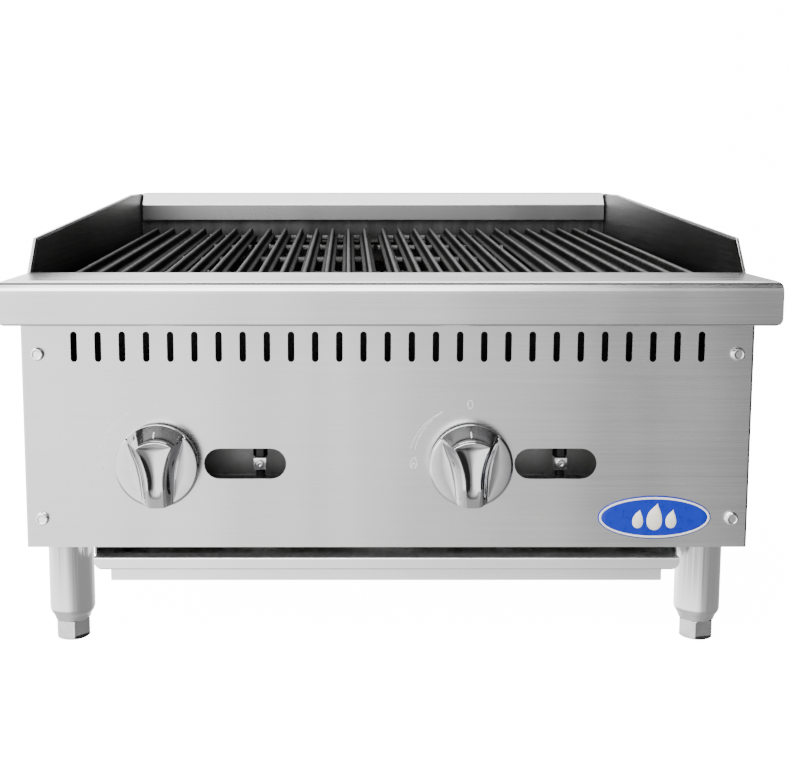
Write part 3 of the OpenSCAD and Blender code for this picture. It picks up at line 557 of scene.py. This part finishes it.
def knob(name, body):
    """A die-cast knob: a round skirt with flat facets and a fan-shaped grip down to the rim."""
    middle = centre(name)
    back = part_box(name)[1][1]
    fan_cv = FAN_TOP - FAN_R
    cos, sin = math.cos(KNOB_TURN), math.sin(KNOB_TURN)
    top = grip_outline(FACE_HALF, FAN_R, fan_cv, 60.0)
    base = grip_outline(BASE_HALF, CONE_FOOT_R, 0.0, CONE_FOOT_R)
    count = len(top)
    rings = []

    def ring(points, heights):
        rings.append([
            (middle.x + (u * cos - v * sin) * MM, back - h * MM, middle.z + (u * sin + v * cos) * MM)
            for (u, v), h in zip(points, heights)
        ])

    face = inset(top, 1.0)
    for k in (0.05, 0.14, 0.24, 0.35, 0.46, 0.57, 0.68, 0.78, 0.87, 0.94, 1.0):
        points = [(u * k, SCOOP_MIDDLE + (v - SCOOP_MIDDLE) * k) for u, v in face]
        ring(points, [face_height(u, v) for u, v in points])
    for depth, drop in ((0.6, 0.03), (0.3, 0.15), (0.1, 0.38), (0.0, GRIP_EDGE_DROP)):
        points = inset(top, depth) if depth else top
        ring(points, [GRIP_H - foot_fall(v) - drop for u, v in points])
    base_heights, rim_drops = [], []
    for u, v in base:
        on_cone = smooth(math.hypot(u, v), 32.0, CONE_FOOT_R) if v > 0 else 0.0
        base_heights.append(FACET_H + (CONE_FOOT_H - FACET_H) * on_cone)
        rim_drops.append(RIM_DROP + (CONE_RIM_DROP - RIM_DROP) * on_cone)
    for f in (0.07, 0.15, 0.24, 0.34, 0.44, 0.54, 0.64, 0.74, 0.83, 0.91, 0.97, 1.0):
        points = [(a + (c - a) * f, b + (d - b) * f) for (a, b), (c, d) in zip(top, base)]
        heights = []
        for (a, b), low in zip(top, base_heights):
            high = GRIP_H - foot_fall(b) - GRIP_EDGE_DROP
            wall = 1 - smooth(b, 4.0, FACE_HALF[-1][0])
            fall = (1 - wall) * f ** SLOPE_POWER + wall * (0.5 - 0.5 * math.cos(math.pi * f))
            heights.append(high + (low - high) * fall)
        ring(points, heights)
    edge = []
    for u, v in base:
        r = math.hypot(u, v)
        k = max(FACET_R, r) / r
        edge.append((u * k, v * k))
    gaps = [math.hypot(c - a, d - b) for (a, b), (c, d) in zip(base, edge)]
    for reach, rise in GROOVE:
        steps = [reach / max(gap, 1.0) * smooth(gap, 1.5, 4.0) for gap in gaps]
        points = [(a + (c - a) * k, b + (d - b) * k)
                  for (a, b), (c, d), k in zip(base, edge, steps)]
        ring(points, [h + rise * smooth(gap, 1.5, 4.0) for h, gap in zip(base_heights, gaps)])
    for k in (0.5, 1.0):
        points = [(a + (c - a) * k, b + (d - b) * k) for (a, b), (c, d) in zip(base, edge)]
        ring(points, base_heights)
    for a in (15, 35, 55, 75, 90):
        points, heights = [], []
        for (u, v), h, drop in zip(edge, base_heights, rim_drops):
            r = math.hypot(u, v)
            k = (r + (KNOB_R - r) * math.sin(math.radians(a))) / r
            points.append((u * k, v * k))
            heights.append(h - drop * (1 - math.cos(math.radians(a))))
        ring(points, heights)
    full = [(KNOB_R * u / math.hypot(u, v), KNOB_R * v / math.hypot(u, v)) for u, v in edge]
    back_hollow = 2.5
    for k, h in ((0.962, 0.6), (0.95, 0.0), (0.86, 0.0), (0.84, back_hollow)):
        ring([(u * k, v * k) for u, v in full], [h] * count)
    shape = Shape()
    shape.loft(rings, cap_start=False, cap_end=False)
    dip = (middle.x - SCOOP_MIDDLE * sin * MM, back - face_height(0.0, SCOOP_MIDDLE) * MM,
           middle.z + SCOOP_MIDDLE * cos * MM)
    shape.fan(0, count, dip, flip=True)
    shape.fan(count * (len(rings) - 1), count, (middle.x, back - back_hollow * MM, middle.z))
    piece = add_mesh(name + "_casting", shape.verts, shape.faces, plating, body, sharp=40)
    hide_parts(name)

    # index line on the slope above the grip, partly sunk in it
    line = Shape()
    start, stop, half = 26.0, 30.0, 0.5
    sunk, proud = -0.4, 0.14
    cone_top = GRIP_H - GRIP_EDGE_DROP
    steps = 4
    rings = []
    for i in range(steps + 1):
        v = start + (stop - start) * i / steps
        f = (v - FAN_TOP) / (CONE_FOOT_R - FAN_TOP)
        h = cone_top + (CONE_FOOT_H - cone_top) * f ** SLOPE_POWER
        rings.append([
            (middle.x + (du * cos - (v + dh) * sin) * MM, back - (h + dh) * MM,
             middle.z + (du * sin + (v + dh) * cos) * MM)
            for du, dh in ((-half, sunk), (half, sunk), (half, proud), (-half, proud))
        ])
    line.loft(rings)
    add_mesh(name + "_index", line.verts, line.faces, panel_ink, body)


for side in ("left", "right"):
    knob(side + "_knob", side + "_knob")


# ---- grates ----

# Sizes in mm, as in the CAD's grates
TILT = math.radians(2.28)
BAR_COUNT, BAR_PITCH, BAR_LENGTH, BAR_HEIGHT = 7, 20.2, 530.0, 15.0
END_R = 9.0
TIE_COUNT, TIE_W, LUG_OUT = 5, 7.0, 4.1
FLANGE_HALF = 6.65
# Right half of a bar's section, as (x, z) from the foot up
BAR_SIDE = (
    (5.9, 0.0), (6.55, 0.7), (FLANGE_HALF, 4.9), (6.35, 5.9), (5.7, 6.5), (3.7, 6.8), (2.75, 7.6),
    (2.35, 9.4), (2.05, 12.0), (1.85, 13.3), (1.45, 14.3), (0.8, 14.88), (0.0, 15.0)
)
# Where the iron is painted grey, partly as rubbed wear and partly as a painted highlight: the top of a
# bar, the shoulder of its flange and the ties
WEAR_AND_HIGHLIGHT_FROM, WEAR_AND_HIGHLIGHT_OVER = 13.0, 1.3
FLANGE_WEAR_AND_HIGHLIGHT, FLANGE_WEAR_AND_HIGHLIGHT_Z = 0.35, (5.8, 6.9)
TIE_WEAR_AND_HIGHLIGHT = 0.18
NUBS = 7


def end_height(y):
    """Height of a bar at a distance y from its front end, as a share of its full height."""
    near = min(y, BAR_LENGTH - y)
    if near >= END_R:
        return 1.0
    return (BAR_HEIGHT - END_R + math.sqrt(END_R ** 2 - (END_R - near) ** 2)) / BAR_HEIGHT


def nub(shape, put, x, y, z, size):
    """A small drop of metal left on the casting."""
    count = 10
    rings = []
    for a in (0, 25, 50, 72):
        r = size * math.cos(math.radians(a))
        top = z + size * math.sin(math.radians(a))
        rings.append([put(x + u, y + v * 1.3, top) for u, v in circle(r, count)])
    shape.loft(rings)


def grate(index):
    """One cast grate: seven ridged bars with a flange at the foot, joined by ties that end in lugs."""
    name = f"grate_{index}"
    low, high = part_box(name)
    x0 = (low[0] + high[0]) / 2
    cos, sin = math.cos(TILT), math.sin(TILT)
    y0 = low[1] + (BAR_HEIGHT - END_R) * MM * sin
    rise = (BAR_LENGTH - END_R) * sin + (BAR_HEIGHT - END_R) * cos + END_R
    z0 = high[2] - (rise + 0.05) * MM

    def put(x, y, z):
        return (x0 + x * MM, y0 + (y * cos - z * sin) * MM, z0 + (y * sin + z * cos) * MM)

    draw = random.Random(40 + index)
    shape = Shape()
    wear_and_highlight_values = []
    section = [(x, z) for x, z in BAR_SIDE] + [(-x, z) for x, z in reversed(BAR_SIDE[:-1])]
    ends = [0.0, 0.5, 1.6, 3.2, 5.6, 9.0, 14.0]
    middle_steps = 26
    span = BAR_LENGTH - 2 * ends[-1]
    stations = ends + [ends[-1] + span * i / middle_steps for i in range(1, middle_steps)]
    stations += [BAR_LENGTH - e for e in reversed(ends)]
    for bar in range(BAR_COUNT):
        bx = (bar - (BAR_COUNT - 1) / 2) * BAR_PITCH
        bow = draw.uniform(-0.25, 0.25)
        rings = []
        for y in stations:
            tall = end_height(y)
            dx = bow * math.sin(math.pi * y / BAR_LENGTH) + draw.uniform(-0.09, 0.09)
            dz = draw.uniform(-0.12, 0.0)
            thin = 0.94 if y in (0.0, BAR_LENGTH) else 1.0
            ring = []
            for x, z in section:
                scale = 1 + (tall - 1) * min(1.0, z / BAR_HEIGHT * 1.35)
                lift = dz * (z / BAR_HEIGHT)
                ring.append(put(bx + x * thin + dx * z / BAR_HEIGHT, y, max(0.02, z * scale + lift)))
                # Grey on the bar's top and on its flange's shoulder: wear and painted highlight
                foot_top = FLANGE_WEAR_AND_HIGHLIGHT if FLANGE_WEAR_AND_HIGHLIGHT_Z[0] < z < FLANGE_WEAR_AND_HIGHLIGHT_Z[1] else 0.0
                wear_and_highlight_values.append(max(foot_top, min(1.0, (z - WEAR_AND_HIGHLIGHT_FROM) / WEAR_AND_HIGHLIGHT_OVER)))
            rings.append(ring)
        shape.loft(rings)
    step = (BAR_LENGTH - TIE_W - 1) / (TIE_COUNT - 1)
    half = (BAR_COUNT - 1) / 2 * BAR_PITCH
    for k in range(TIE_COUNT):
        edge = half + (FLANGE_HALF + LUG_OUT if k % 2 == 1 else 6.0)
        y = k * step + 0.5
        rings = []
        for x, shrink in ((-edge, 1.6), (-edge + 0.6, 0.6), (-edge + 1.8, 0.0),
                          (edge - 1.8, 0.0), (edge - 0.6, 0.6), (edge, 1.6)):
            a, b = y + shrink, y + TIE_W - shrink
            top = 5.6 - shrink * 0.45
            rings.append([put(x, *p) for p in (
                (a, 0.4), (b, 0.4), (b, top - 0.9), (b - 0.9, top), (a + 0.9, top), (a, top - 0.9)
            )][::-1])
        shape.loft(rings)
    wear_and_highlight_values += [TIE_WEAR_AND_HIGHLIGHT] * (len(shape.verts) - len(wear_and_highlight_values))
    for _ in range(NUBS):
        bar = draw.randrange(BAR_COUNT - 1)
        x = (bar - (BAR_COUNT - 1) / 2) * BAR_PITCH + draw.uniform(6.0, 8.5)
        y = draw.randrange(TIE_COUNT) * step + draw.uniform(1.5, 6.5)
        size = draw.uniform(0.9, 1.7)
        nub(shape, put, x, y, 5.2, size)
        wear_and_highlight_values += [draw.uniform(0.3, 1.0)] * (len(shape.verts) - len(wear_and_highlight_values))
    piece = add_mesh(name + "_casting", shape.verts, shape.faces, iron, name, sharp=50)
    wear_and_highlight = piece.data.attributes.new("wear_and_highlight", "FLOAT", "POINT")
    wear_and_highlight.data.foreach_set("value", wear_and_highlight_values)
    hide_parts(name)


for index in range(1, 5):
    grate(index)


# ---- screws ----

SCREW_FLANGE, SHANK_R, SHANK_ENDS = 11.2, 2.4, (0.2, -7.0)


def hex_head(shape, at, outward, flat=9.2, height=4.6):
    """A flanged hexagonal screw head along Y, in mm. outward is -1 to the front, 1 to the back."""
    count = 48
    apothem = flat / 2

    def hexagon(a, corner_cut):
        across = math.pi / 3
        d = (a + across / 2) % across - across / 2
        return min(apothem / math.cos(d), corner_cut)

    profile = []
    rim = SCREW_FLANGE / 2
    for r, h in ((rim, 0.05), (rim, 0.75), (rim - 0.35, 1.15)):
        profile.append(([r] * count, h))
    corner = apothem / math.cos(math.pi / 6)
    for cut, h in ((corner, 1.35), (corner, height - 1.0), (corner - 0.25, height - 0.45),
                   (apothem + 0.05, height - 0.1), (apothem - 0.5, height)):
        profile.append(([hexagon(a, cut) for a in turn(count)], h))
    profile.append(([apothem - 1.3] * count, height - 0.05))
    profile.append(([apothem - 1.7] * count, height - 0.35))
    rings = []
    for radii, h in profile:
        rings.append([
            (at[0] + r * MM * math.cos(math.tau * i / count), at[1] + outward * h * MM,
             at[2] + r * MM * math.sin(math.tau * i / count))
            for i, r in enumerate(radii)
        ])
    shape.loft(rings if outward < 0 else [ring[::-1] for ring in rings])


def screws(node, name, outward, plane, rows):
    """Replaces a CAD node of screws, in two columns, by detailed heads with a short shank each."""
    shape = Shape()
    low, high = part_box(node)
    half_head = SCREW_FLANGE / 2 * MM
    step = (high[2] - low[2] - 2 * half_head) / (rows - 1)
    for x in (low[0] + half_head, high[0] - half_head):
        for row in range(rows):
            z = low[2] + half_head + row * step
            hex_head(shape, (x, plane, z), outward)
            rings = [[(x + u * MM, plane + outward * e * MM, z + v * MM)
                      for u, v in circle(SHANK_R, 16)] for e in SHANK_ENDS]
            if outward < 0:
                rings.reverse()
            shape.loft(rings)
    piece = add_mesh(name, shape.verts, shape.faces, plated, "chassis", sharp=35)
    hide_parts(node)


screws("panel_screws", "panel_screw_heads", -1, panel_y, rows=2)
screws("back_screws", "back_screw_heads", 1, back_y, rows=3)


# ---- pilot valves: bright blocks with a round screw, under black tube nuts ----

# In mm. PILOT_BLOCK_Z is above the floor, and PILOT_BEHIND is from the CAD node's front to the
# block's middle. The block's outline is in X and Y, round that middle.
PILOT_BLOCK_Z, PILOT_BLOCK_H, PILOT_BEHIND = 157.0, 11.0, 9.0
PILOT_BLOCK = ((-5.2, -7.0), (5.2, -7.0), (5.2, 6.0), (-5.2, 6.0))
PILOT_NUT_R, PILOT_NUT_H, PILOT_TUBE_R = 6.2, 9.9, 3.9
# Rings of the adjusting screw: radius, and distance in front of the block's middle
PILOT_SCREW = ((3.6, 6.5), (3.6, 9.2), (2.9, 10.1), (1.6, 10.1), (1.2, 8.0))


def pilot_valves():
    low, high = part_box("pilot_valves")
    bright, black = Shape(), Shape()
    half = 6.4 * MM
    y = low[1] + PILOT_BEHIND * MM
    foot = PILOT_BLOCK_Z * MM
    top = foot + PILOT_BLOCK_H * MM

    def prism(shape, x, outline, z0, z1, cut=0.6):
        """An upright prism with both ends bevelled. Its outline and cut are in mm."""
        cut *= MM
        outline = [(a * MM, b * MM) for a, b in outline]
        levels = ((z0, cut), (z0 + cut, 0.0), (z1 - cut, 0.0), (z1, cut))
        shape.loft([[(x + a, y + b, z) for a, b in (inset(outline, d) if d else outline)]
                    for z, d in levels])

    for x in (low[0] + half, high[0] - half):
        prism(bright, x, PILOT_BLOCK, foot, top)
        bright.loft([[(x + u * MM, y - d * MM, (foot + top) / 2 + w * MM) for u, w in circle(r, 24)]
                     for r, d in PILOT_SCREW])
        prism(black, x, circle(PILOT_NUT_R, 6), top - 0.4 * MM, top + PILOT_NUT_H * MM, cut=0.8)
        prism(black, x, circle(PILOT_TUBE_R, 20), low[2] + 0.5 * MM, foot + 0.4 * MM, cut=0.2)
    piece = add_mesh("pilot_blocks", bright.verts, bright.faces, plated, "chassis", sharp=35)
    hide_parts("pilot_valves")
    add_mesh("pilot_nuts", black.verts, black.faces, black_fitting, "chassis", sharp=35)


pilot_valves()


# ---- badge ----

def flat_shape(outline, y, thick, dome=0.0):
    """A thin raised piece on the front panel from an outline of X and Z in metres, gently domed."""
    shape = Shape()
    rings = [[(x, y, z) for x, z in outline]]
    for depth, rise in ((0.0, 0.7), (0.0003, 1.0)):
        points = inset(outline, depth) if depth else outline
        rings.append([(x, y - thick * rise, z) for x, z in points])
    count = len(outline)
    shape.loft(rings, cap_end=not dome)
    if dome:
        cx = sum(p[0] for p in outline) / count
        cz = sum(p[1] for p in outline) / count
        last = rings[-1]
        for k in (0.85, 0.6, 0.3):
            ring = [(cx + (x - cx) * k, yy - dome * (1 - k * k), cz + (z - cz) * k) for x, yy, z in last]
            base = len(shape.verts)
            shape.verts.extend(Vector(p) for p in ring)
            previous = base - count
            for i in range(count):
                j = (i + 1) % count
                shape.faces.append((previous + i, previous + j, base + j, base + i))
        shape.fan(len(shape.verts) - count, count, (cx, last[0][1] - dome, cz))
    return shape


def ellipse(cx, cz, half_w, half_h):
    return [(cx + half_w * u, cz + half_h * v) for u, v in circle(1.0, 96)]


def flame(cx, cz, height, lean=0.12):
    """Outline of a plain flame: round at the foot, pointed at the top."""
    out = []
    for a in turn(48):
        v = -math.cos(a)
        w = math.sin(a) * (1 - 0.52 * (v + 1) / 2) * (1 - max(0.0, v) ** 3 * 0.85)
        out.append((cx + height * (0.36 * w + lean * max(0.0, v) ** 2), cz + height * v / 2))
    return out


def badge():
    low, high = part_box("badge")
    cx, cz = (low[0] + high[0]) / 2, (low[2] + high[2]) / 2
    half_w, half_h = (high[0] - low[0]) / 2, (high[2] - low[2]) / 2
    face = panel_y - 0.05 * MM
    plate = flat_shape(ellipse(cx, cz, half_w, half_h), face, 1.0 * MM, dome=0.25 * MM)
    piece = add_mesh("badge_plate", plate.verts, plate.faces, blue_enamel, "chassis", sharp=50)
    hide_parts("badge")
    rim = Shape()
    rings = []
    for gap_in, rise in ((0.9, 0.9), (0.9, 1.25), (1.4, 1.45), (2.2, 1.45), (2.7, 1.3), (2.7, 0.9)):
        rings.append([(x, face - rise * MM, z) for x, z in
                      ellipse(cx, cz, half_w - gap_in * MM, half_h - gap_in * MM)])
    rim.loft(rings, cap_start=False, cap_end=False)
    add_mesh("badge_rim", rim.verts, rim.faces, cream_enamel, "chassis", sharp=50)
    emblem = Shape()
    parts = [flame(cx + dx * MM, cz + dz * MM, h * MM) for dx, dz, h in
             ((0, 0.6, 23), (-14, -1.2, 16), (14, -1.2, 16))]
    for outline in parts:
        emblem.join(flat_shape(outline, face - 0.9 * MM, 0.6 * MM))
    add_mesh("badge_emblem", emblem.verts, emblem.faces, cream_enamel, "chassis", sharp=50)


badge()


# ---- marks printed round the knobs ----

def band(points, y, width, thick):
    """A flat raised line through points of X and Z."""
    shape = Shape()
    count = len(points)
    rings = []
    for i, (x, z) in enumerate(points):
        a = points[max(0, i - 1)]
        b = points[min(count - 1, i + 1)]
        d = Vector((b[0] - a[0], b[1] - a[1])).normalized()
        n = Vector((-d.y, d.x)) * width / 2
        rings.append([(x + n.x, y, z + n.y), (x - n.x, y, z - n.y),
                      (x - n.x, y - thick, z - n.y), (x + n.x, y - thick, z + n.y)])
    shape.loft(rings)
    return shape


ARC_R, ARC_FROM, ARC_TO = 49.0, 118, 169
ZERO_HALF_W, ZERO_HALF_H, ZERO_UP = 2.1, 3.6, 49.5
LINE, ZERO_LINE = 0.4, 0.55


def marks(side):
    """A zero, an arc that widens and two plain flames, printed round a knob."""
    middle = centre(side + "_knob")
    cx, cz = middle.x, middle.z
    y = panel_y + 0.02 * MM
    thick = 0.14 * MM
    shape = Shape()

    def print_line(points, width):
        shape.join(band(points, y, width * MM, thick))

    def round_knob(degrees, radius):
        a = math.radians(degrees)
        return cx + radius * MM * math.cos(a), cz + radius * MM * math.sin(a)

    zero = []
    for degrees in range(0, 361, 12):
        a = math.radians(degrees)
        zero.append((cx + ZERO_HALF_W * MM * math.cos(a),
                     cz + ZERO_UP * MM + ZERO_HALF_H * MM * math.sin(a)))
    print_line(zero, ZERO_LINE)
    sweep = range(ARC_FROM, ARC_TO, 3)
    widths = [0.4 + 3.2 * i / (len(sweep) - 1) for i in range(len(sweep))]
    for sign in (-1, 1):
        print_line([round_knob(a, ARC_R + sign * w / 2) for a, w in zip(sweep, widths)], LINE)
    for scale in (1.0, 0.5):
        outline = flame(cx - 47 * MM, cz - (2.4 * MM if scale < 1 else 0), 10 * MM * scale)
        print_line(outline + outline[:1], LINE)
    add_mesh(side + "_knob_marks", shape.verts, shape.faces, panel_ink, "chassis", sharp=50)


for side in ("left", "right"):
    marks(side)


# ---- thread on the gas inlet ----

def inlet_thread():
    """A single-start thread wound round the pipe's plain end. Its sizes are in mm."""
    mount = next(m for m in frame["record"]["mounts"] if m["name"] == "gas_inlet")
    x, y_end, z = mount["pos_m"]
    root = mount["dims"]["r_mm"]
    length = mount["dims"]["length_mm"] - 1.5
    pitch, crest = 1.8, 0.32
    turns = length / pitch
    steps = int(turns * 40)
    run_out = 30
    rings = []
    for i in range(steps + 1):
        a = math.tau * turns * i / steps
        y = y_end - (1.0 + length * i / steps) * MM
        fade = min(1.0, i / run_out, (steps - i) / run_out)
        ring = []
        for dy, dr in ((-0.75, -0.25), (-0.12, crest * fade), (0.12, crest * fade), (0.75, -0.25)):
            r = (root + dr) * MM
            ring.append((x + r * math.cos(a), y + dy * MM, z + r * math.sin(a)))
        rings.append(ring)
    shape = Shape()
    shape.loft(rings)
    add_mesh("gas_inlet_thread", shape.verts, shape.faces, black_pipe, "chassis", sharp=30)


inlet_thread()


# ---- camera, light and floor ----

def place_camera():
    camera = bpy.data.cameras.new("camera")
    camera.sensor_width = 36.0
    camera.lens = 54.93
    camera.shift_x = 0.060
    camera.shift_y = -0.084
    holder = bpy.data.objects.new("camera", camera)
    holder.location = (-0.0328, -1.2853, 0.4118)
    holder.rotation_euler = (math.radians(90 - 7.04), 0.0, 0.0)
    scene.collection.objects.link(holder)
    scene.camera = holder


def pale_floor():
    """A floor that looks white to the camera and adds no light to the object."""
    floor = bpy.data.meshes.new("floor")
    half = 12.0
    corners = [(-half, -half, 0), (half, -half, 0), (half, half, 0), (-half, half, 0)]
    floor.from_pydata(corners, [], [(0, 1, 2, 3)])
    g = Graph("floor_white", Roughness=0.9)
    cloud = g.noise((1.5, 1.5, 1.5), detail=2.0)
    g.feed("Base Color", g.blend(g.spread(cloud, 0.0, 1.0), (0.86, 0.86, 0.86), (0.88, 0.88, 0.88)))
    g.bsdf.inputs["Emission Color"].default_value = (1, 1, 1, 1)
    g.bsdf.inputs["Emission Strength"].default_value = 15.0
    floor.materials.append(g.material)
    ground = bpy.data.objects.new("floor", floor)
    ground.visible_glossy = False
    ground.visible_diffuse = False
    scene.collection.objects.link(ground)


def lamp(name, place, aim, size, power):
    """A rectangular lamp, out of the camera's sight."""
    light = bpy.data.lights.new(name, "AREA")
    light.shape = "RECTANGLE"
    light.size, light.size_y = size
    light.energy = power
    made = bpy.data.objects.new(name, light)
    made.location = place
    made.rotation_euler = (Vector(aim) - Vector(place)).to_track_quat("-Z", "Y").to_euler()
    made.visible_camera = False
    scene.collection.objects.link(made)


def lamps():
    lamp("key_left", (-1.7, -1.7, 1.3), (0, 0, 0.2), (1.3, 1.6), 24)
    lamp("top_front", (-0.25, -1.45, 1.75), (-0.1, -0.3, 0.3), (1.3, 1.9), 54)
    lamp("splash_top", (-0.05, 0.14, 1.0), (-0.05, 0.14, 0.0), (1.3, 0.34), 5.5)
    lamp("table_bounce", (0.0, -0.15, 0.003), (0.0, -0.15, 1.0), (1.0, 0.7), 0.9)


def surroundings():
    """Soft light all round, brighter on the left, which the metal reflects."""
    world = bpy.data.worlds.new("studio")
    scene.world = world
    world.use_nodes = True
    tree = world.node_tree
    background = tree.nodes["Background"]
    background.inputs["Color"].default_value = (1.0, 1.0, 1.0, 1.0)
    coords = tree.nodes.new("ShaderNodeTexCoord")
    split = tree.nodes.new("ShaderNodeSeparateXYZ")
    tree.links.new(coords.outputs["Generated"], split.inputs["Vector"])

    def ranged(source, low_in, high_in, low, high):
        made = tree.nodes.new("ShaderNodeMapRange")
        made.interpolation_type = "SMOOTHSTEP"
        set_range(made, low_in, high_in, low, high)
        tree.links.new(source, made.inputs["Value"])
        return made.outputs["Result"]

    def combine(operation, a, b):
        made = tree.nodes.new("ShaderNodeMath")
        made.operation = operation
        for socket, value in zip(made.inputs, (a, b)):
            if isinstance(value, float):
                socket.default_value = value
            else:
                tree.links.new(value, socket)
        return made.outputs["Value"]

    across = ranged(split.outputs["X"], -0.32, 0.36, 3.1, 0.40)
    right_side = ranged(split.outputs["X"], 0.42, 0.60, 1.0, 0.10)
    low = ranged(split.outputs["Z"], -0.58, -0.34, 0.24, 1.0)
    overhead = ranged(split.outputs["Z"], 0.66, 0.90, 1.0, 0.10)
    behind = ranged(split.outputs["Y"], 0.45, 0.85, 0.0, 0.6)
    sides = combine("MULTIPLY", across, right_side)
    glow = combine("ADD", combine("MULTIPLY", combine("MULTIPLY", sides, low), overhead), behind)
    path = tree.nodes.new("ShaderNodeLightPath")
    seen = combine("MULTIPLY", path.outputs["Is Camera Ray"], 15.0)
    tree.links.new(combine("ADD", glow, seen), background.inputs["Strength"])


place_camera()
pale_floor()
lamps()
surroundings()
